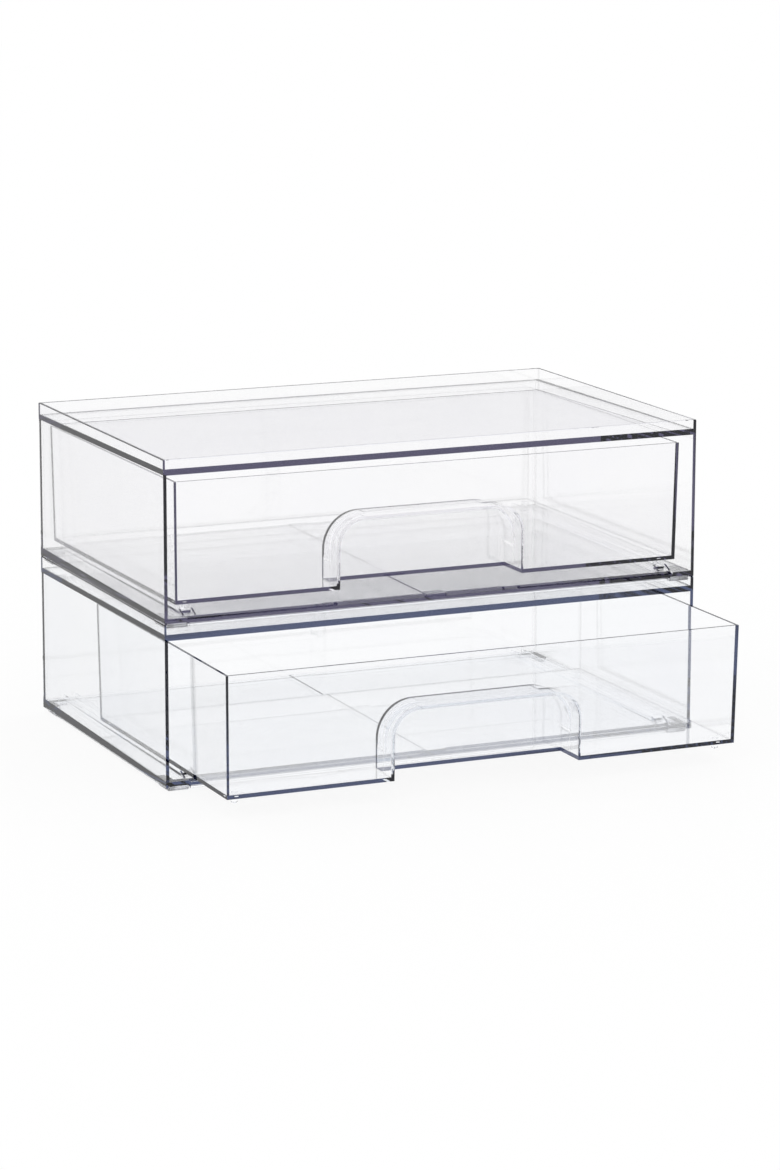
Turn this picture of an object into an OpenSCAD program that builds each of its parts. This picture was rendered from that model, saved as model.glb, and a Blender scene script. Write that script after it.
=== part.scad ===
// Two stackable clear drawer modules: an open-fronted case with a rimmed top,
// and a drawer tray with a finger pocket moulded into its front wall.
// The upper case stands on the lower one. Its plinth drops inside the lower rim.
//
// Frame: origin at the middle of the lower case's footprint, on the surface it
// stands on. +X to the right, +Y to the back, +Z up. Millimetres.

/* [Case] */
// Width of a case over its side walls
case_w = 406.4; // [300:0.2:480]
// Depth of a case, from its open front to the outside of its back wall
case_d = 254; // [200:0.5:320]
// Height that one case adds to a stack, from wall foot to rim top
case_h = 114.3; // [100:0.1:160]
// Side wall thickness at the open front
side_wall = 2.4; // [2:0.1:4]
// Back wall thickness
back_wall = 2; // [1.6:0.1:4]
// Floor thickness at the open front
floor_t = 4.4; // [3.6:0.1:6]
// Top panel thickness
panel_t = 4.1; // [3:0.1:6]
// How far the cavity faces close in over its depth, so that the core pulls out
cavity_draft = 1.9; // [0.5:0.1:2.5]

/* [Rim] */
// Height of the rim above the top panel, at the front
rim_h = 6.7; // [5:0.1:12]
// Thickness of the rim wall
rim_t = 1.8; // [1.4:0.1:3]
// Fall of the top panel's outer face from front to back
panel_fall = 1.8; // [0:0.1:2.5]

/* [Plinth and feet] */
// Drop of the plinth rib below the floor
plinth_drop = 2.2; // [1:0.1:2.4]
// Drop of a corner foot below the floor
foot_drop = 2.6; // [2.5:0.1:4]
// Length of a corner foot's leg along the front or the back
foot_leg_x = 15.5; // [12:0.5:24]
// Length of a corner foot's leg along the side
foot_leg_y = 20; // [14:0.5:30]

/* [Floor track] */
// Centre line of a guide track, measured from the side of the case
track_in = 20.6; // [18:0.1:26]
// Gap between the two guide ribs of a track
track_gap = 7.6; // [6.5:0.1:10]
// Height of a guide rib above the floor
rib_h = 3.3; // [2:0.1:4]
// Width of the raised strip along the middle of the floor
strip_w = 14.8; // [8:0.1:30]

/* [Drawer tray] */
// Width of the tray over its top edge
tray_w = 386; // [280:0.5:460]
// Distance from the case's open front back to the tray's front top edge
tray_inset = 6.6; // [3:0.1:12]
// Height of the tray's top edge above the wall foot
tray_top = 97.2; // [80:0.1:140]
// Height of the tray's underside above the wall foot
tray_bottom = 12; // [11:0.1:16]
// Thickness of the tray's walls
tray_wall = 2.1; // [1.6:0.1:3]
// Thickness of the tray's floor
tray_floor = 2.6; // [2:0.1:4]
// How far the lower tray stands pulled out at rest
lower_pull = 93; // [0:1:150]

/* [Finger pocket] */
// Width of the pocket's mouth
pocket_w = 139.6; // [90:0.2:200]
// Height of the pocket above the tray's underside
pocket_h = 48.4; // [30:0.2:60]
// Depth of the pocket behind the tray's front face
pocket_depth = 27.5; // [20:0.5:40]
// Corner radius of the pocket's mouth
pocket_r = 18.5; // [8:0.5:26]
// Depth of the mouth, up to the shoulder that narrows the pocket
shoulder_at = 13; // [8:0.5:18]
// Height of the ledge on the pocket's inner faces above the tray's underside
ledge_h = 24; // [12:0.5:28]

/* [Hidden] */
$fn = 64;

clear_tint = [0.93, 0.93, 0.97, 0.35];
foot_tint = [0.88, 0.89, 0.92, 0.6];
far = 1000;          // longer than any part, for profiles that are only trimmed
eps = 0.02;          // overlap that joins two solids of one part
past = 1;            // how far a cutter runs past the face that it cuts
lead = 10;           // how far the cavity's drafted outline runs out of the open front
open_over = 5;       // how far the tray's hollow runs past its top edge
edge_c = 0.4;        // broken edge of the case's foot and rim

// Heights inside one case, from the foot of its walls
panel_front = case_h - rim_h;
ceiling_front = panel_front - panel_t;
cavity_back = case_d - back_wall;
floor_back = floor_t + cavity_draft;
ceiling_back = ceiling_front - cavity_draft;

// Lead-in bevel along the floor's front edge, between the corners and the strip
bevel_drop = 1.4;
bevel_run = 4.5;
bevel_corner = 17;
bevel_gap = 0.6;

// Rib ring under the floor
plinth_in = 2.9;
plinth_t = 1.6;
plinth_gap = 1;      // between the rib's ends and the feet

// Corner foot: an L-shaped pad seated in a shallow recess in the floor
foot_in = 2.6;
foot_leg_t = 6;
foot_seat = 0.8;
foot_gap = 0.1;
foot_r = 1.5;

// Track for the tray's studs: a level runway between two ramped ribs
rib_t = 1.3;
rib_root = 0.2;      // how far the ribs, runways and strip reach into the floor
rib_front = 7;
rib_ramp = 7;
rib_nose = 0.4;
rib_back_gap = 3.6;
runway_top = floor_back - 0.1;
strip_raise = 0.6;

// Tray draft, and the studs that ride on the runway
tray_side_draft = 1;
tray_front_draft = 1.9;
tray_back_gap = 1.3;
tray_back_draft = 1.9;
stud_r = 2.25;
stud_tip_r = 1.7;
stud_tip_h = 0.6;
stud_clear = 0.3;
stud_front = 11;
stud_rear = 12;

// Finger pocket behind the shoulder, and the tier below the ledge
pocket_inner_w = pocket_w - 1.4;
pocket_inner_h = pocket_h - 0.3;
pocket_inner_r = pocket_r + 6;
pocket_wall = 2;
tier_step = 0.65;
tier_r = 8;

tray_mid_x = case_w / 2;
tray_front_low = tray_inset + tray_front_draft;
tray_rear_top = cavity_back - tray_back_gap;
tray_rear_low = tray_rear_top - tray_back_draft;

// An outline in the X-Z plane, extruded from y0 to y1
module along_y(y0, y1) {
  translate([0, y1, 0]) rotate([90, 0, 0]) linear_extrude(y1 - y0) children();
}

// An outline in the Y-Z plane, extruded from x0 to x1
module along_x(x0, x1) {
  translate([x0, 0, 0]) rotate([90, 0, 90]) linear_extrude(x1 - x0) children();
}

// A rectangle a wide and b high from the origin, with its corners cut by c
module broken_rect(a, b, c) {
  polygon([[c, 0], [a - c, 0], [a, c], [a, b - c], [a - c, b], [c, b], [0, b - c], [0, c]]);
}

// ---- Case ----

module case_block() {
  intersection() {
    along_y(0, case_d) broken_rect(case_w, case_h, edge_c);
    along_x(0, case_w) broken_rect(case_d, case_h, edge_c);
  }
}

// The drafted hollow that the tray slides in, open at the front
module case_cavity() {
  lead_draft = cavity_draft * lead / cavity_back;
  in_f = side_wall - lead_draft;
  in_b = side_wall + cavity_draft;
  intersection() {
    linear_extrude(case_h) polygon([
      [in_f, -lead], [case_w - in_f, -lead],
      [case_w - in_b, cavity_back], [in_b, cavity_back]
    ]);
    along_x(0, case_w) polygon([
      [-lead, floor_t - lead_draft], [cavity_back, floor_back],
      [cavity_back, ceiling_back], [-lead, ceiling_front + lead_draft]
    ]);
  }
}

// The recess inside the rim, over the top panel
module rim_recess() {
  along_x(rim_t, case_w - rim_t) polygon([
    [rim_t, panel_front], [case_d - rim_t, panel_front - panel_fall],
    [case_d - rim_t, case_h + past], [rim_t, case_h + past]
  ]);
}

// The wedge cut off the floor's top front edge between x0 and x1
module floor_bevel(x0, x1) {
  along_x(x0, x1) polygon([
    [-past, floor_t + past], [-past, floor_t - bevel_drop * (1 + past / bevel_run)],
    [bevel_run, floor_t], [bevel_run, floor_t + past]
  ]);
}

module floor_bevels() {
  half_block = strip_w / 2 + bevel_gap;
  floor_bevel(bevel_corner, case_w / 2 - half_block);
  floor_bevel(case_w / 2 + half_block, case_w - bevel_corner);
}

// One guide rib, ramped at its front end, that follows the floor's slope
module guide_rib(x0) {
  slope = cavity_draft / cavity_back;
  rib_back = cavity_back - rib_back_gap;
  low = floor_t - rib_root;
  along_x(x0, x0 + rib_t) polygon([
    [rib_front, low], [rib_back, low],
    [rib_back, floor_t + slope * rib_back + rib_h],
    [rib_front + rib_ramp, floor_t + slope * (rib_front + rib_ramp) + rib_h],
    [rib_front, floor_t + slope * rib_front + rib_nose]
  ]);
}

// Two ribs with the level runway between them
module track() {
  x0 = track_in - track_gap / 2;
  guide_rib(x0 - rib_t);
  guide_rib(x0 + track_gap);
  translate([x0 - eps, rib_front + rib_ramp, floor_t - rib_root])
    cube([track_gap + 2 * eps, cavity_back - rib_front - rib_ramp + eps,
          runway_top - floor_t + rib_root]);
}

module centre_strip() {
  along_x((case_w - strip_w) / 2, (case_w + strip_w) / 2) polygon([
    [0, floor_t - rib_root], [cavity_back + eps, floor_t - rib_root],
    [cavity_back + eps, floor_back + strip_raise], [0, floor_t + strip_raise]
  ]);
}

// The rib ring under the floor, broken at the corners for the feet
module plinth() {
  outer_w = case_w - 2 * plinth_in;
  outer_d = case_d - 2 * plinth_in;
  gap_x = foot_leg_x + plinth_gap;
  gap_y = foot_leg_y + plinth_gap;
  translate([0, 0, -plinth_drop]) linear_extrude(plinth_drop + eps) difference() {
    translate([plinth_in, plinth_in]) square([outer_w, outer_d]);
    translate([plinth_in + plinth_t, plinth_in + plinth_t])
      square([outer_w - 2 * plinth_t, outer_d - 2 * plinth_t]);
    for (x = [0, case_w - gap_x - foot_in], y = [0, case_d - gap_y - foot_in])
      translate([x, y]) square([gap_x + foot_in, gap_y + foot_in]);
  }
}

// Outline of a front-left foot, grown by g
module foot_outline(g) {
  corner = foot_in - g;
  long_x = foot_leg_x + 2 * g;
  long_y = foot_leg_y + 2 * g;
  wide = foot_leg_t + 2 * g;
  end_r = foot_r + g;
  translate([corner, corner]) {
    bar_outline(long_x, wide, end_r);
    bar_outline(wide, long_y, end_r);
  }
}

// A rectangle a by b from the origin with round corners
module bar_outline(a, b, r) {
  for (x = [r, a - r], y = [r, b - r]) translate([x, y]) circle(r);
  translate([r, 0]) square([a - 2 * r, b]);
  translate([0, r]) square([a, b - 2 * r]);
}

// A shape made for the front left corner, moved to corner (right, rear)
module at_corner(right, rear) {
  translate([right * case_w, rear * case_d, 0])
    mirror([right, 0, 0]) mirror([0, rear, 0]) children();
}

module foot_recesses() {
  for (right = [0, 1], rear = [0, 1])
    at_corner(right, rear) translate([0, 0, -past])
      linear_extrude(past + foot_seat) foot_outline(foot_gap);
}

module drawer_case() {
  difference() {
    union() {
      difference() {
        case_block();
        case_cavity();
        rim_recess();
        floor_bevels();
      }
      track();
      translate([case_w, 0, 0]) mirror([1, 0, 0]) track();
      centre_strip();
      plinth();
    }
    foot_recesses();
  }
}

// ---- Corner foot ----

module corner_foot(right, rear) {
  at_corner(right, rear) translate([0, 0, -foot_drop])
    linear_extrude(foot_drop + foot_seat) foot_outline(0);
}

// ---- Drawer tray ----

// Frustum of the tray, moved in by t on every side and up by up
module tray_frustum(t, up) {
  half_top = tray_w / 2 - t;
  half_low = tray_w / 2 - tray_side_draft - t;
  slope_f = tray_front_draft / (tray_top - tray_bottom);
  slope_b = tray_back_draft / (tray_top - tray_bottom);
  slope_s = tray_side_draft / (tray_top - tray_bottom);
  base = tray_bottom + up;
  over = up > 0 ? open_over : 0;
  top = tray_top + over;
  intersection() {
    along_y(0, case_d) polygon([
      [tray_mid_x - half_low - slope_s * up, base], [tray_mid_x + half_low + slope_s * up, base],
      [tray_mid_x + half_top + slope_s * over, top], [tray_mid_x - half_top - slope_s * over, top]
    ]);
    along_x(0, case_w) polygon([
      [tray_front_low + t - slope_f * up, base], [tray_rear_low - t + slope_b * up, base],
      [tray_rear_top - t + slope_b * over, top], [tray_inset + t - slope_f * over, top]
    ]);
  }
}

// Arch outline standing on the tray's underside, w wide and h high
module arch(w, h, r) {
  translate([tray_mid_x - w / 2, tray_bottom - far]) square([w, h - r + far]);
  translate([tray_mid_x - w / 2 + r, tray_bottom]) square([w - 2 * r, h]);
  for (side = [-1, 1])
    translate([tray_mid_x + side * (w / 2 - r), tray_bottom + h - r]) circle(r);
}

// Lower tier of the pocket, up to the ledge
module tier_outline(grow) {
  intersection() {
    arch(pocket_inner_w + 2 * grow, ledge_h, tier_r);
    translate([0, tray_bottom - far]) square([far, far + ledge_h]);
  }
}

// The clear skin round the pocket, inside the tray
module pocket_shell() {
  back = tray_front_low + pocket_depth + pocket_wall;
  mouth_back = tray_front_low + shoulder_at + pocket_wall;
  intersection() {
    union() {
      along_y(tray_inset, mouth_back)
        arch(pocket_w + 2 * pocket_wall, pocket_h + pocket_wall, pocket_r + pocket_wall);
      along_y(tray_inset, back)
        arch(pocket_inner_w + 2 * pocket_wall, pocket_inner_h + pocket_wall,
             pocket_inner_r + pocket_wall);
    }
    tray_frustum(0, 0);
  }
}

// The space for the fingers, open to the front and the underside
module pocket_void() {
  back = tray_front_low + pocket_depth;
  along_y(-far, tray_front_low + shoulder_at) arch(pocket_w, pocket_h, pocket_r);
  along_y(-far, back) arch(pocket_inner_w, pocket_inner_h, pocket_inner_r);
  along_y(tray_front_low + shoulder_at, back + tier_step) tier_outline(tier_step);
}

// A round stud under the tray that rides on the runway
module stud(x, y) {
  tip_z = runway_top + stud_clear;
  translate([x, y, tip_z]) {
    cylinder(h = stud_tip_h, r1 = stud_tip_r, r2 = stud_r);
    translate([0, 0, stud_tip_h]) cylinder(h = tray_bottom - tip_z - stud_tip_h + past, r = stud_r);
  }
}

module studs() {
  for (x = [track_in, case_w - track_in],
       y = [tray_front_low + stud_front, tray_rear_low - stud_rear])
    stud(x, y);
}

module drawer_tray() {
  difference() {
    union() {
      difference() {
        tray_frustum(0, 0);
        tray_frustum(tray_wall, tray_floor);
      }
      pocket_shell();
      studs();
    }
    pocket_void();
  }
}

// ---- Placing the modules ----

module lower_place() {
  translate([-case_w / 2, -case_d / 2, foot_drop]) children();
}

module upper_place() {
  translate([0, 0, case_h]) lower_place() children();
}

// ---- Sub-parts ----

module lower_case() {
  color(clear_tint) lower_place() drawer_case();
}

module lower_foot_front_left() {
  color(foot_tint) lower_place() corner_foot(0, 0);
}

module lower_foot_front_right() {
  color(foot_tint) lower_place() corner_foot(1, 0);
}

module lower_foot_rear_left() {
  color(foot_tint) lower_place() corner_foot(0, 1);
}

module lower_foot_rear_right() {
  color(foot_tint) lower_place() corner_foot(1, 1);
}

module lower_tray() {
  color(clear_tint) lower_place() translate([0, -lower_pull, 0]) drawer_tray();
}

module upper_case() {
  color(clear_tint) upper_place() drawer_case();
}

module upper_foot_front_left() {
  color(foot_tint) upper_place() corner_foot(0, 0);
}

module upper_foot_front_right() {
  color(foot_tint) upper_place() corner_foot(1, 0);
}

module upper_foot_rear_left() {
  color(foot_tint) upper_place() corner_foot(0, 1);
}

module upper_foot_rear_right() {
  color(foot_tint) upper_place() corner_foot(1, 1);
}

module upper_tray() {
  color(clear_tint) upper_place() drawer_tray();
}

lower_case();
lower_foot_front_left();
lower_foot_front_right();
lower_foot_rear_left();
lower_foot_rear_right();
lower_tray();
upper_case();
upper_foot_front_left();
upper_foot_front_right();
upper_foot_rear_left();
upper_foot_rear_right();
upper_tray();
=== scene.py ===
"""Looks of two stackable clear drawer modules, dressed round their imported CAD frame.

Lengths are in metres and angles in degrees. The origin is the middle of the lower case's
footprint, on the surface that it stands on. +X is right, +Y is back and +Z is up.
"""

import logging
import math
from dataclasses import dataclass, field
from enum import Enum

import bmesh
import bpy
from mathutils import Matrix, Vector


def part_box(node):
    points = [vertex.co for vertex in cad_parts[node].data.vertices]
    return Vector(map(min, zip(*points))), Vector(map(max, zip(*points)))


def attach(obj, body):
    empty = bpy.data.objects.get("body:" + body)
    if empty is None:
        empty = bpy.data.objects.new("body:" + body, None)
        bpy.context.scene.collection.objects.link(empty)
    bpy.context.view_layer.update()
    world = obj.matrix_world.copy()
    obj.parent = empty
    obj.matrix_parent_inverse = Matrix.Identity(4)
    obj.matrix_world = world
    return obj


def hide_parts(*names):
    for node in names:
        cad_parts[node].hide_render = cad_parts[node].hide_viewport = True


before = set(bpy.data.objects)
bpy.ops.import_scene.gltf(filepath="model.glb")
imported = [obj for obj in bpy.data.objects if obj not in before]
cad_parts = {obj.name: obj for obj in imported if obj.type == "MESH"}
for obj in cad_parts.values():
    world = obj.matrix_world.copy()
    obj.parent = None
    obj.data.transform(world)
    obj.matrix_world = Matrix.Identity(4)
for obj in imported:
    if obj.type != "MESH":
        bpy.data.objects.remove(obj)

log = logging.getLogger("drawer_box")

MM = 0.001
WHITE = (1.0, 1.0, 1.0, 1.0)
Colour = tuple[float, float, float]
Triple = tuple[float, float, float]
Socket = bpy.types.NodeSocket
Sockets = bpy.types.bpy_prop_collection


class Module(Enum):
    """The two stacked modules, by the prefix of their nodes."""

    LOWER = "lower"
    UPPER = "upper"


class GroupKind(Enum):
    """What a node group works on, by the name of its tree."""

    SHADER = "ShaderNodeTree"
    GEOMETRY = "GeometryNodeTree"


class Graph:
    """A node tree that is filled one node at a time."""

    def __init__(self, tree: bpy.types.NodeTree) -> None:
        """Keeps the tree that the nodes go in."""
        self.tree = tree

    @classmethod
    def group(cls, name: str, kind: GroupKind, inputs: dict[str, str],
              outputs: dict[str, str]) -> "Graph":
        """Starts a node group with named sockets.

        Args:
            name: The group's name.
            kind: What the group works on.
            inputs: The type of each input, such as Float, by its name.
            outputs: The type of each output, by its name.

        Returns:
            The new group's graph.
        """
        tree = bpy.data.node_groups.new(name, kind.value)
        for side, sockets in (("INPUT", inputs), ("OUTPUT", outputs)):
            for label, socket in sockets.items():
                tree.interface.new_socket(label, in_out=side, socket_type=f"NodeSocket{socket}")
        return cls(tree)

    def add(self, kind: str, inputs: dict[str | int, object] | None = None,
            **settings: object) -> bpy.types.Node:
        """Adds one node, sets its options and feeds its inputs.

        Args:
            kind: The node's type, such as ShaderNodeMath.
            inputs: A value or another node's output for each input, by name or number.
            **settings: The node's own options, such as operation.

        Returns:
            The new node.
        """
        node = self.tree.nodes.new(kind)
        for option, value in settings.items():
            setattr(node, option, value)
        for socket, value in (inputs or {}).items():
            self.feed(node.inputs[socket], value)
        return node

    def feed(self, socket: Socket, value: object) -> None:
        """Links an output to a socket, or sets the socket's own value.

        Args:
            socket: The input socket.
            value: Another node's output, or the value.
        """
        if isinstance(value, Socket):
            self.tree.links.new(value, socket)
        else:
            socket.default_value = value

    def maths(self, operation: str, *values: object) -> Socket:
        """Adds one Math node.

        Args:
            operation: The Math node's operation.
            *values: Its inputs in order, each a number or another node's output.

        Returns:
            The node's output.
        """
        return self.add("ShaderNodeMath", dict(enumerate(values)), operation=operation).outputs[0]

    def mix(self, share: object, first: object, second: object) -> Socket:
        """Adds one Mix node between two colours.

        Args:
            share: How much of the second colour there is, from 0 to 1.
            first: A colour or another node's output.
            second: A colour or another node's output.

        Returns:
            The mixed colour.
        """
        blend = self.add("ShaderNodeMix", {0: share, 6: first, 7: second}, data_type="RGBA")
        return blend.outputs[2]

    def clamp(self, value: Socket) -> Socket:
        """Adds the node that keeps a value between 0 and 1."""
        return self.add("ShaderNodeClamp", {"Value": value}).outputs["Result"]

    def vector(self, x: object = 0.0, y: object = 0.0, z: object = 0.0) -> Socket:
        """Adds the node that joins three numbers or outputs into a vector."""
        return self.add("ShaderNodeCombineXYZ", {"X": x, "Y": y, "Z": z}).outputs[0]

    def axes(self, vector: Socket) -> Sockets:
        """Adds the node that parts a vector into its X, Y and Z outputs."""
        return self.add("ShaderNodeSeparateXYZ", {"Vector": vector}).outputs


@dataclass(frozen=True)
class StudioCamera:
    """Camera that looks down on the stack from its front left."""

    azimuth: float = -24.09
    elevation: float = 12.167
    roll: float = 0.13
    distance: float = 2.91279
    lens: float = 123.304
    sensor: float = 36.0
    nearest: float = 0.05
    farthest: float = 50.0
    aim: Vector = field(default_factory=lambda: Vector((0.01637, -0.01048, 0.10349)))

    def build(self) -> bpy.types.Object:
        """Makes the camera and puts it in the scene.

        Returns:
            The camera's object.
        """
        azimuth = math.radians(self.azimuth)
        elevation = math.radians(self.elevation)
        roll = math.radians(self.roll)
        back = Vector((
            math.sin(azimuth) * math.cos(elevation),
            -math.cos(azimuth) * math.cos(elevation),
            math.sin(elevation),
        ))
        right = Vector((0, 0, 1)).cross(back).normalized()
        up = back.cross(right)
        turned_right = right * math.cos(roll) + up * math.sin(roll)
        turned_up = up * math.cos(roll) - right * math.sin(roll)
        lens = bpy.data.cameras.new("studio_camera")
        lens.lens = self.lens
        lens.sensor_width = self.sensor
        lens.clip_start = self.nearest
        lens.clip_end = self.farthest
        camera = bpy.data.objects.new("studio_camera", lens)
        turn = Matrix((turned_right, turned_up, back)).transposed().to_4x4()
        camera.matrix_world = Matrix.Translation(self.aim + back * self.distance) @ turn
        bpy.context.scene.collection.objects.link(camera)
        bpy.context.scene.camera = camera
        return camera


@dataclass(frozen=True)
class Surroundings:
    """What light meets when it leaves the plastic.

    The studio is white all round. Light that has been reflected often inside a wall or panel
    meets a navy ring with one lit sector instead, which makes the dark bands along the edges. A
    turn is one reflection. A ray is allowed free_turns, and turns_per_face more for each face
    that it has passed through, and over its next turn the ring takes the place of the white.
    The edges are compass headings from -180 to 180 degrees, 0 straight behind the stack and 90
    to its right. The ring fades from navy to lit between the first two, and back to navy
    between the last two.
    """

    navy: Colour = (0.004, 0.005, 0.014)
    lit: Colour = (0.225, 0.215, 0.3)
    edges: tuple[float, float, float, float] = (-10, 8, 50, 68)
    free_turns: float = 0.75
    turns_per_face: float = 0.75

    def group(self) -> bpy.types.NodeTree:
        """Builds the shader group that turns a direction into the ring's colour.

        Returns:
            A group with a Direction input and a Ring output.
        """
        graph = Graph.group(
            "studio_ring", GroupKind.SHADER, {"Direction": "Vector"}, {"Ring": "Color"})
        axes = graph.axes(graph.add("NodeGroupInput").outputs["Direction"])
        heading = graph.maths("ARCTAN2", axes["X"], axes["Y"])
        ramp = graph.add("ShaderNodeValToRGB", {
            "Fac": graph.maths("MULTIPLY_ADD", heading, 0.5 / math.pi, 0.5)})
        stops = ramp.color_ramp.elements
        for _ in self.edges[2:]:
            stops.new(0.5)
        colours = (self.navy, self.lit, self.lit, self.navy)
        for stop, edge, colour in zip(stops, self.edges, colours):
            stop.position = edge / 360 + 0.5
            stop.color = (*colour, 1)
        graph.add("NodeGroupOutput", {"Ring": ramp.outputs["Color"]})
        return graph.tree

    def colour(self, graph: Graph, direction: Socket, ring: bpy.types.NodeTree) -> Socket:
        """Adds the nodes that choose between white and the ring for a ray.

        Args:
            graph: The tree to add them to.
            direction: Where the ray goes.
            ring: The group from group().

        Returns:
            The colour that the ray meets.
        """
        path = graph.add("ShaderNodeLightPath").outputs
        met = graph.add("ShaderNodeGroup", node_tree=ring)
        graph.feed(met.inputs["Direction"], direction)
        allowed = graph.maths(
            "MULTIPLY_ADD", path["Transmission Depth"], self.turns_per_face, self.free_turns)
        extra = graph.maths("SUBTRACT", path["Glossy Depth"], allowed)
        return graph.mix(graph.clamp(extra), WHITE, met.outputs["Ring"])


@dataclass(frozen=True)
class Studio:
    """White floor in white surroundings, with light followed until it leaves the plastic."""

    surroundings: Surroundings = field(default_factory=Surroundings)
    floor_half: float = 6.0
    floor_drop: float = 0.1 * MM
    floor_glow: float = 0.9
    bounces: int = 64

    def build(self) -> None:
        """Makes the floor and the world, and sets how far light is followed."""
        scene = bpy.context.scene
        scene.view_settings.view_transform = "Standard"
        for limit in ("max_bounces", "transmission_bounces", "glossy_bounces"):
            setattr(scene.cycles, limit, self.bounces)
        ring = self.surroundings.group()
        self._world(ring)
        self._floor(ring)

    def _world(self, ring: bpy.types.NodeTree) -> None:
        """Makes the surroundings.

        Args:
            ring: The group from Surroundings.group().
        """
        world = bpy.data.worlds.new("studio_light")
        world.use_nodes = True
        graph = Graph(world.node_tree)
        direction = graph.add("ShaderNodeTexCoord").outputs["Generated"]
        light = world.node_tree.nodes["Background"]
        light.inputs["Strength"].default_value = 1
        graph.feed(light.inputs["Color"], self.surroundings.colour(graph, direction, ring))
        bpy.context.scene.world = world

    def _floor(self, ring: bpy.types.NodeTree) -> None:
        """Lays the white floor just under the feet.

        Args:
            ring: The group from Surroundings.group().
        """
        half = self.floor_half
        mesh = bpy.data.meshes.new("studio_floor")
        corners = [(-half, -half), (half, -half), (half, half), (-half, half)]
        mesh.from_pydata([(x, y, -self.floor_drop) for x, y in corners], [], [(0, 1, 2, 3)])
        floor = bpy.data.objects.new("studio_floor", mesh)
        bpy.context.scene.collection.objects.link(floor)
        mesh.materials.append(self._white(ring))

    def _white(self, ring: bpy.types.NodeTree) -> bpy.types.Material:
        """Builds the floor's material.

        It glows for rays out of the plastic, so that it shows white through the walls, and it
        is matte for rays off matte surfaces. Rays that have turned often inside the plastic find
        the navy ring painted on the glow by where they land round the stack. It is a painted dark
        reflection that makes the dark bands along the edges. The camera sees mostly the glow, and
        the matte share that is left carries the stack's shadow.

        Args:
            ring: The group from Surroundings.group().

        Returns:
            The new material.
        """
        material = bpy.data.materials.new("white_floor")
        material.use_nodes = True
        graph = Graph(material.node_tree)
        graph.tree.nodes.remove(graph.tree.nodes["Principled BSDF"])
        path = graph.add("ShaderNodeLightPath").outputs
        place = graph.add("ShaderNodeTexCoord").outputs["Object"]
        # Painted dark reflection: for rays that have turned often inside the plastic, the glow
        # takes the navy ring's colour by the floor point's heading round the stack
        glow = graph.add("ShaderNodeEmission", {
            "Color": self.surroundings.colour(graph, place, ring)})
        matte = graph.add("ShaderNodeBsdfDiffuse", {"Color": WHITE})
        direct = graph.maths("MAXIMUM", path["Is Camera Ray"], path["Is Diffuse Ray"])
        seen = graph.maths("MULTIPLY", path["Is Camera Ray"], self.floor_glow)
        share = graph.maths("ADD", graph.maths("SUBTRACT", 1.0, direct), seen)
        mixed = graph.add("ShaderNodeMixShader", {
            0: share, 1: matte.outputs["BSDF"], 2: glow.outputs["Emission"]})
        end = graph.tree.nodes["Material Output"]
        graph.feed(end.inputs["Surface"], mixed.outputs["Shader"])
        return material


@dataclass
class MarkGroups:
    """Shader groups for the marks that every moulding carries, built once and shared.

    The waves are the noise between wave_low and wave_high. The hairlines are the noise above
    hair_start, drawn out along one axis by hair_squeeze and laid at each of the hair_turns.
    """

    wave_low: float = 0.3
    wave_high: float = 0.7
    wave_rough: float = 0.4
    hair_turns: tuple[Triple, Triple] = ((0.3, 0.1, 0.7), (0.9, 1.2, 2.1))
    hair_squeeze: Triple = (1, 0.04, 1)
    hair_detail: float = 2.0
    hair_start: float = 0.78
    hair_contrast: float = 12.0
    flow: bpy.types.NodeTree = field(init=False)
    scuffs: bpy.types.NodeTree = field(init=False)

    def __post_init__(self) -> None:
        """Builds both groups."""
        self.flow = self._flow()
        self.scuffs = self._scuffs()

    def _flow(self) -> bpy.types.NodeTree:
        """Builds the slow waves that the plastic freezes with as it fills the mould.

        Returns:
            A group with Place, Spread, Finest and Uneven inputs and a Wave output from 0 to 1.
        """
        graph = Graph.group(
            "mould_flow", GroupKind.SHADER,
            {"Place": "Vector", "Spread": "Float", "Finest": "Float", "Uneven": "Float"},
            {"Wave": "Float"})
        source = graph.add("NodeGroupInput").outputs
        noise = graph.add("ShaderNodeTexNoise", {
            "Vector": source["Place"], "Scale": source["Spread"], "Detail": source["Finest"],
            "Roughness": self.wave_rough, "Distortion": source["Uneven"]})
        wave = graph.add("ShaderNodeMapRange", {
            "Value": noise.outputs["Fac"], "From Min": self.wave_low,
            "From Max": self.wave_high})
        graph.add("NodeGroupOutput", {"Wave": wave.outputs["Result"]})
        return graph.tree

    def _scuffs(self) -> bpy.types.NodeTree:
        """Builds the sparse hairlines that handling leaves, in two directions.

        Returns:
            A group with Place, Fineness and Share inputs and a Mask output from 0 to 1.
        """
        graph = Graph.group(
            "handling_scuffs", GroupKind.SHADER,
            {"Place": "Vector", "Fineness": "Float", "Share": "Float"}, {"Mask": "Float"})
        source = graph.add("NodeGroupInput").outputs
        masks = []
        for turn in self.hair_turns:
            along = graph.add("ShaderNodeMapping", {
                "Vector": source["Place"], "Rotation": turn, "Scale": self.hair_squeeze})
            hair = graph.add("ShaderNodeTexNoise", {
                "Vector": along.outputs["Vector"], "Scale": source["Fineness"],
                "Detail": self.hair_detail})
            start = graph.maths("SUBTRACT", self.hair_start, source["Share"])
            over = graph.maths("SUBTRACT", hair.outputs["Fac"], start)
            masks.append(graph.maths("MULTIPLY", over, self.hair_contrast))
        graph.add("NodeGroupOutput", {"Mask": graph.clamp(graph.maths("MAXIMUM", *masks))})
        return graph.tree

    def place(self, graph: Graph, group: bpy.types.NodeTree, values: dict[str, float]) -> Socket:
        """Adds one of the groups to a material, on the piece's own coordinates.

        Args:
            graph: The material's tree.
            group: The group to add.
            values: The material's own values for its inputs, by name.

        Returns:
            The group's output.
        """
        place = graph.add("ShaderNodeTexCoord").outputs["Object"]
        marks = graph.add("ShaderNodeGroup", node_tree=group)
        for name, value in {"Place": place, **values}.items():
            graph.feed(marks.inputs[name], value)
        return marks.outputs[0]


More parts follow.
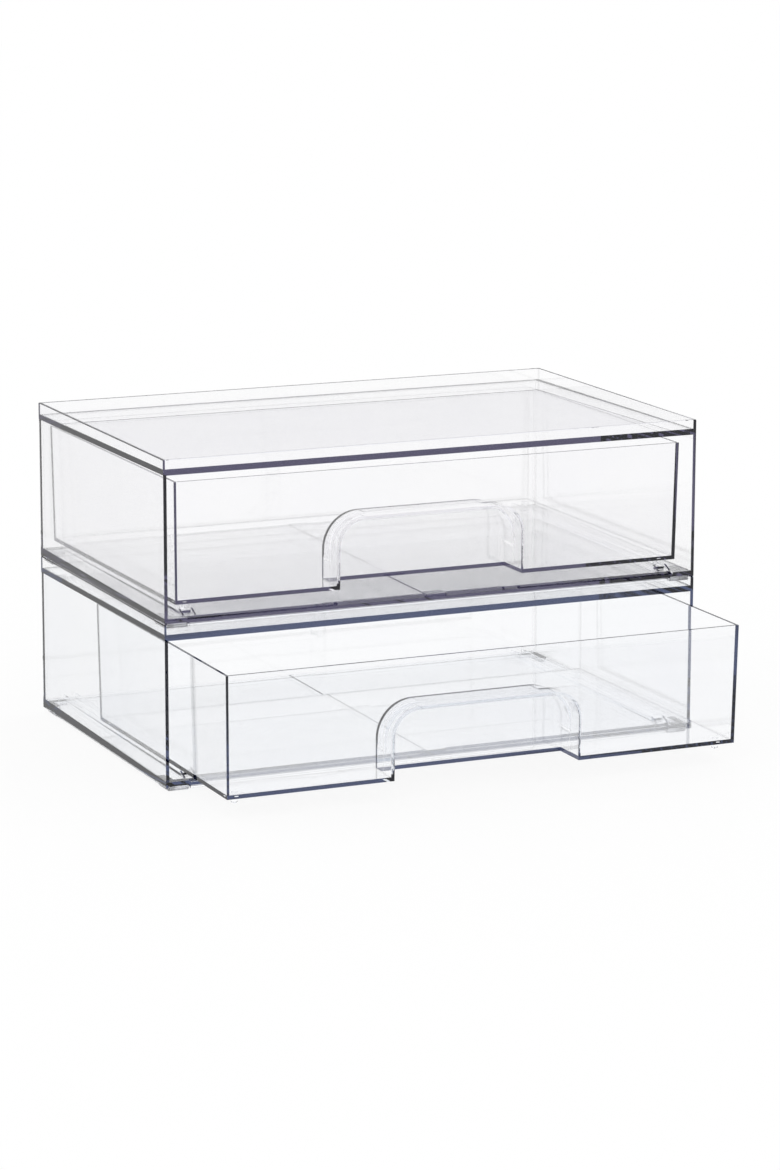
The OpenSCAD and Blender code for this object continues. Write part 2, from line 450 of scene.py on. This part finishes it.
@dataclass(frozen=True)
class Finish:
    """What the plastic and the rubber share: how uneven and how scuffed they are."""

    name: str
    flow: dict[str, float]
    scuffs: dict[str, float]
    pale: Colour
    deep: Colour
    smooth: float
    scuffed: float
    ripple: float

    def surface(self, marks: MarkGroups) -> tuple[bpy.types.Material, Graph, bpy.types.Node]:
        """Builds the material with its uneven colour, scuffs and ripple.

        Args:
            marks: The shared groups.

        Returns:
            The material, its tree and its shader, for the finish's own values.
        """
        material = bpy.data.materials.new(self.name)
        material.use_nodes = True
        graph = Graph(material.node_tree)
        shader = graph.tree.nodes["Principled BSDF"]
        wave = marks.place(graph, marks.flow, self.flow)
        mask = marks.place(graph, marks.scuffs, self.scuffs)
        tint = graph.mix(wave, (*self.pale, 1), (*self.deep, 1))
        graph.feed(shader.inputs["Base Color"], tint)
        rough = graph.add("ShaderNodeMapRange", {
            "Value": mask, "To Min": self.smooth, "To Max": self.scuffed})
        graph.feed(shader.inputs["Roughness"], rough.outputs["Result"])
        bump = graph.add("ShaderNodeBump", {
            "Strength": self.ripple, "Distance": MM, "Height": wave})
        graph.feed(shader.inputs["Normal"], bump.outputs["Normal"])
        return material, graph, shader


@dataclass(frozen=True)
class ClearPlastic(Finish):
    """Clear moulded styrene, darker the further that light runs inside it.

    What it absorbs of red, green and blue is given per metre.
    """

    absorbed: Colour = field(kw_only=True)
    flow: dict[str, float] = field(
        default_factory=lambda: {"Spread": 14.0, "Finest": 1.0, "Uneven": 0.3})
    scuffs: dict[str, float] = field(default_factory=lambda: {"Fineness": 420.0, "Share": 0.0})
    pale: Colour = (1.0, 1.0, 1.0)
    deep: Colour = (0.99, 0.99, 0.995)
    smooth: float = 0.0
    scuffed: float = 0.06
    ripple: float = 0.02
    ior: float = 1.57

    def material(self, marks: MarkGroups) -> bpy.types.Material:
        """Builds the material.

        Args:
            marks: The shared groups.

        Returns:
            The new material.
        """
        material, graph, shader = self.surface(marks)
        shader.inputs["IOR"].default_value = self.ior
        shader.inputs["Transmission Weight"].default_value = 1
        density = max(self.absorbed)
        inside = graph.add("ShaderNodeVolumeAbsorption", {
            "Density": density, "Color": (*(1 - a / density for a in self.absorbed), 1)})
        end = graph.tree.nodes["Material Output"]
        graph.feed(end.inputs["Volume"], inside.outputs["Volume"])
        return material


@dataclass(frozen=True)
class SoftRubber(Finish):
    """Pale, slightly cloudy rubber of the corner feet, with a satin skin."""

    flow: dict[str, float] = field(
        default_factory=lambda: {"Spread": 160.0, "Finest": 3.0, "Uneven": 0.6})
    scuffs: dict[str, float] = field(default_factory=lambda: {"Fineness": 900.0, "Share": 0.08})
    pale: Colour = (0.96, 0.96, 0.985)
    deep: Colour = (0.88, 0.89, 0.94)
    smooth: float = 0.38
    scuffed: float = 0.62
    ripple: float = 0.12
    ior: float = 1.45
    clearness: float = 0.85
    sheen: float = 0.15

    def material(self, marks: MarkGroups) -> bpy.types.Material:
        """Builds the material.

        Args:
            marks: The shared groups.

        Returns:
            The new material.
        """
        material, _, shader = self.surface(marks)
        shader.inputs["IOR"].default_value = self.ior
        shader.inputs["Transmission Weight"].default_value = self.clearness
        shader.inputs["Sheen Weight"].default_value = self.sheen
        return material


def keep_only(mesh: bpy.types.Mesh, material: bpy.types.Material) -> None:
    """Leaves a mesh with one material slot.

    Args:
        mesh: The mesh, whose faces may point at any of its slots.
        material: The material to keep.
    """
    mesh.materials.clear()
    mesh.materials.append(material)
    mesh.polygons.foreach_set("material_index", [0] * len(mesh.polygons))


def point_outwards(mesh: bpy.types.Mesh) -> None:
    """Turns every face of a closed mesh outwards.

    Args:
        mesh: The mesh, which may hold several closed solids.
    """
    work = bmesh.new()
    work.from_mesh(mesh)
    bmesh.ops.recalc_face_normals(work, faces=work.faces)
    work.to_mesh(mesh)
    work.free()


@dataclass(frozen=True)
class CornerFeet:
    """Four L-shaped pads under a case, one at each corner.

    Points nearer than same_place count as one place, and points nearer than weld are merged.
    """

    case_width: float = 406.4 * MM
    case_depth: float = 254.0 * MM
    inset: float = 2.6 * MM
    leg_across: float = 15.5 * MM
    leg_back: float = 20.0 * MM
    leg_width: float = 6.0 * MM
    end_radius: float = 1.5 * MM
    end_steps: int = 6
    height: float = 3.4 * MM
    edge: float = 0.35 * MM
    edge_steps: int = 2
    edge_angle: float = 50.0
    same_place: float = 0.1 * MM
    weld: float = 0.005 * MM

    def build(self, module: Module, rubber: bpy.types.Material) -> bpy.types.Object:
        """Makes the four feet of one module as one piece.

        Args:
            module: The module that they carry.
            rubber: Their material.

        Returns:
            The finished piece.
        """
        nodes = [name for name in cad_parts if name.startswith(f"{module.value}_foot")]
        tree = bpy.data.node_groups.get("corner_feet") or self._tree()
        maker = bpy.data.objects.new("feet_maker", bpy.data.meshes.new("feet_maker"))
        bpy.context.scene.collection.objects.link(maker)
        feet = maker.modifiers.new("feet", "NODES")
        feet.node_group = tree
        values = {"Case Width": self.case_width, "Case Depth": self.case_depth,
                  "Inset": self.inset, "Leg Across": self.leg_across, "Leg Back": self.leg_back,
                  "Leg Width": self.leg_width, "End Radius": self.end_radius,
                  "Height": self.height, "Base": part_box(nodes[0])[0][2], "Rubber": rubber}
        for item in tree.interface.items_tree:
            if item.in_out == "INPUT":
                feet[item.identifier] = values[item.name]
        soft = maker.modifiers.new("soft_edges", "BEVEL")
        soft.width = self.edge
        soft.segments = self.edge_steps
        soft.angle_limit = math.radians(self.edge_angle)
        mesh = bpy.data.meshes.new_from_object(
            maker.evaluated_get(bpy.context.evaluated_depsgraph_get()))
        bpy.data.objects.remove(maker)
        keep_only(mesh, rubber)
        point_outwards(mesh)
        piece = bpy.data.objects.new(f"{module.value}_feet", mesh)
        bpy.context.scene.collection.objects.link(piece)
        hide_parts(*nodes)
        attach(piece, f"{module.value}_module")
        return piece

    def _tree(self) -> bpy.types.NodeTree:
        """Builds the nodes that shape one L-shaped pad and set it at every corner.

        Returns:
            The node group, with a named input for each size.
        """
        sizes = ("Case Width", "Case Depth", "Inset", "Leg Across", "Leg Back", "Leg Width",
                 "End Radius", "Height", "Base")
        graph = Graph.group(
            "corner_feet", GroupKind.GEOMETRY,
            {**dict.fromkeys(sizes, "Float"), "Rubber": "Material"}, {"Geometry": "Geometry"})
        source = graph.add("NodeGroupInput").outputs
        margins = graph.maths("MULTIPLY", source["Inset"], 2.0)
        corners = graph.add("GeometryNodeMeshGrid", {
            "Size X": graph.maths("SUBTRACT", source["Case Width"], margins),
            "Size Y": graph.maths("SUBTRACT", source["Case Depth"], margins),
            "Vertices X": 2, "Vertices Y": 2})
        lifted = graph.add("GeometryNodeTransform", {
            "Geometry": corners.outputs["Mesh"], "Translation": graph.vector(z=source["Base"])})
        at = graph.axes(graph.add("GeometryNodeInputPosition").outputs[0])
        inwards = [graph.maths("MULTIPLY", graph.maths("SIGN", at[axis]), -1.0) for axis in "XY"]
        feet = graph.add("GeometryNodeInstanceOnPoints", {
            "Points": lifted.outputs["Geometry"], "Instance": self._pad(graph, source),
            "Scale": graph.vector(*inwards, 1.0)})
        real = graph.add("GeometryNodeRealizeInstances", {"Geometry": feet.outputs["Instances"]})
        dressed = graph.add("GeometryNodeSetMaterial", {
            "Geometry": real.outputs["Geometry"], "Material": source["Rubber"]})
        graph.add("NodeGroupOutput", {"Geometry": dressed.outputs["Geometry"]})
        return graph.tree

    def _pad(self, graph: Graph, source: Sockets) -> Socket:
        """Adds the nodes of one pad, with its outer corner at the origin.

        Args:
            graph: The tree to add them to.
            source: The group's inputs.

        Returns:
            The pad's solid.
        """
        outline = self._outline(graph, source, self._elbow(graph, source))
        sheet = graph.add("GeometryNodeFillCurve", {"Curve": outline}, mode="NGONS")
        raised = graph.add("GeometryNodeExtrudeMesh", {
            "Mesh": sheet.outputs["Mesh"], "Offset": graph.vector(z=1.0),
            "Offset Scale": source["Height"], "Individual": False})
        under = graph.add("GeometryNodeFlipFaces", {"Mesh": sheet.outputs["Mesh"]})
        joined = graph.add("GeometryNodeJoinGeometry")
        for part in (under, raised):
            graph.feed(joined.inputs["Geometry"], part.outputs["Mesh"])
        closed = graph.add("GeometryNodeMergeByDistance", {
            "Geometry": joined.outputs["Geometry"], "Distance": self.weld})
        return closed.outputs["Geometry"]

    def _elbow(self, graph: Graph, source: Sockets) -> Socket:
        """Adds the nodes of the pad's flat L, which is made of three cells.

        A grid with its points at -1, 0 and 1 loses the cell in its far corner. Then its points
        move to 0, the leg's width and the leg's length.

        Args:
            graph: The tree to add them to.
            source: The group's inputs.

        Returns:
            The flat L.
        """
        cells = graph.add("GeometryNodeMeshGrid", {
            "Size X": 2.0, "Size Y": 2.0, "Vertices X": 3, "Vertices Y": 3})
        at = graph.axes(graph.add("GeometryNodeInputPosition").outputs[0])
        past_middle = [graph.maths("GREATER_THAN", at[axis], 0.0) for axis in "XY"]
        three = graph.add("GeometryNodeDeleteGeometry", {
            "Geometry": cells.outputs["Mesh"],
            "Selection": graph.maths("MULTIPLY", *past_middle)}, domain="FACE")
        places = []
        for axis, leg in (("X", "Leg Across"), ("Y", "Leg Back")):
            first = graph.maths("GREATER_THAN", at[axis], -0.5)
            second = graph.maths("GREATER_THAN", at[axis], 0.5)
            rest = graph.maths("SUBTRACT", source[leg], source["Leg Width"])
            places.append(graph.maths(
                "ADD", graph.maths("MULTIPLY", first, source["Leg Width"]),
                graph.maths("MULTIPLY", second, rest)))
        sized = graph.add("GeometryNodeSetPosition", {
            "Geometry": three.outputs["Geometry"], "Position": graph.vector(*places)})
        return sized.outputs["Geometry"]

    def _outline(self, graph: Graph, source: Sockets, elbow: Socket) -> Socket:
        """Adds the nodes that draw the flat L's outline, rounded at all corners but the crook.

        Args:
            graph: The tree to add them to.
            source: The group's inputs.
            elbow: The flat L.

        Returns:
            The closed outline.
        """
        faces = graph.add("GeometryNodeInputMeshEdgeNeighbors").outputs["Face Count"]
        loop = graph.add("GeometryNodeMeshToCurve", {
            "Mesh": elbow, "Selection": graph.maths("LESS_THAN", faces, 2.0)})
        place = graph.add("GeometryNodeInputPosition").outputs[0]
        at = graph.axes(place)
        width = source["Leg Width"]
        off_line = graph.maths("SUBTRACT", graph.maths("ADD", at["X"], at["Y"]), width)
        mid_side = graph.maths("LESS_THAN", graph.maths("ABSOLUTE", off_line), self.same_place)
        corners = graph.add("GeometryNodeDeleteGeometry", {
            "Geometry": loop.outputs["Curve"], "Selection": mid_side})
        from_crook = graph.add("ShaderNodeVectorMath", {
            0: place, 1: graph.vector(width, width)}, operation="DISTANCE").outputs["Value"]
        outer = graph.maths("GREATER_THAN", from_crook, self.same_place)
        rounded = graph.add("GeometryNodeFilletCurve", {
            "Curve": corners.outputs["Geometry"], "Limit Radius": True, "Count": self.end_steps,
            "Radius": graph.maths("MULTIPLY", source["End Radius"], outer)}, mode="POLY")
        return rounded.outputs["Curve"]


@dataclass(frozen=True)
class DrawerModule:
    """One case with its tray and its four feet."""

    module: Module
    plastic: ClearPlastic
    rubber: SoftRubber = field(default_factory=lambda: SoftRubber("soft_foot_rubber"))
    feet: CornerFeet = field(default_factory=CornerFeet)

    def build(self, marks: MarkGroups) -> None:
        """Makes the module's pieces and dresses them.

        Args:
            marks: The shared shader groups.
        """
        clear = self.plastic.material(marks)
        for part in ("case", "tray"):
            node = f"{self.module.value}_{part}"
            self._dress(node, clear)
            log.info("%s dressed in %s", node, clear.name)
        rubber = bpy.data.materials.get(self.rubber.name) or self.rubber.material(marks)
        piece = self.feet.build(self.module, rubber)
        log.info("%s made, %d faces", piece.name, len(piece.data.polygons))

    def _dress(self, node: str, material: bpy.types.Material) -> None:
        """Puts one material on all of a CAD node's faces.

        Args:
            node: The CAD node's name.
            material: The material for it.
        """
        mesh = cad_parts[node].data
        mesh.materials.clear()
        mesh.materials.append(material)


def main() -> None:
    """Builds the camera, the studio and both modules in order."""
    logging.basicConfig(level=logging.INFO, format="%(name)s: %(message)s")
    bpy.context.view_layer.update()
    StudioCamera().build()
    Studio().build()
    marks = MarkGroups()
    violet = ClearPlastic("clear_violet_plastic", absorbed=(3.66, 3.8, 2.8))
    blue = ClearPlastic("clear_blue_plastic", absorbed=(5.0, 3.8, 2.3))
    for module in (DrawerModule(Module.UPPER, violet), DrawerModule(Module.LOWER, blue)):
        module.build(marks)


if __name__ == "__main__":
    main()
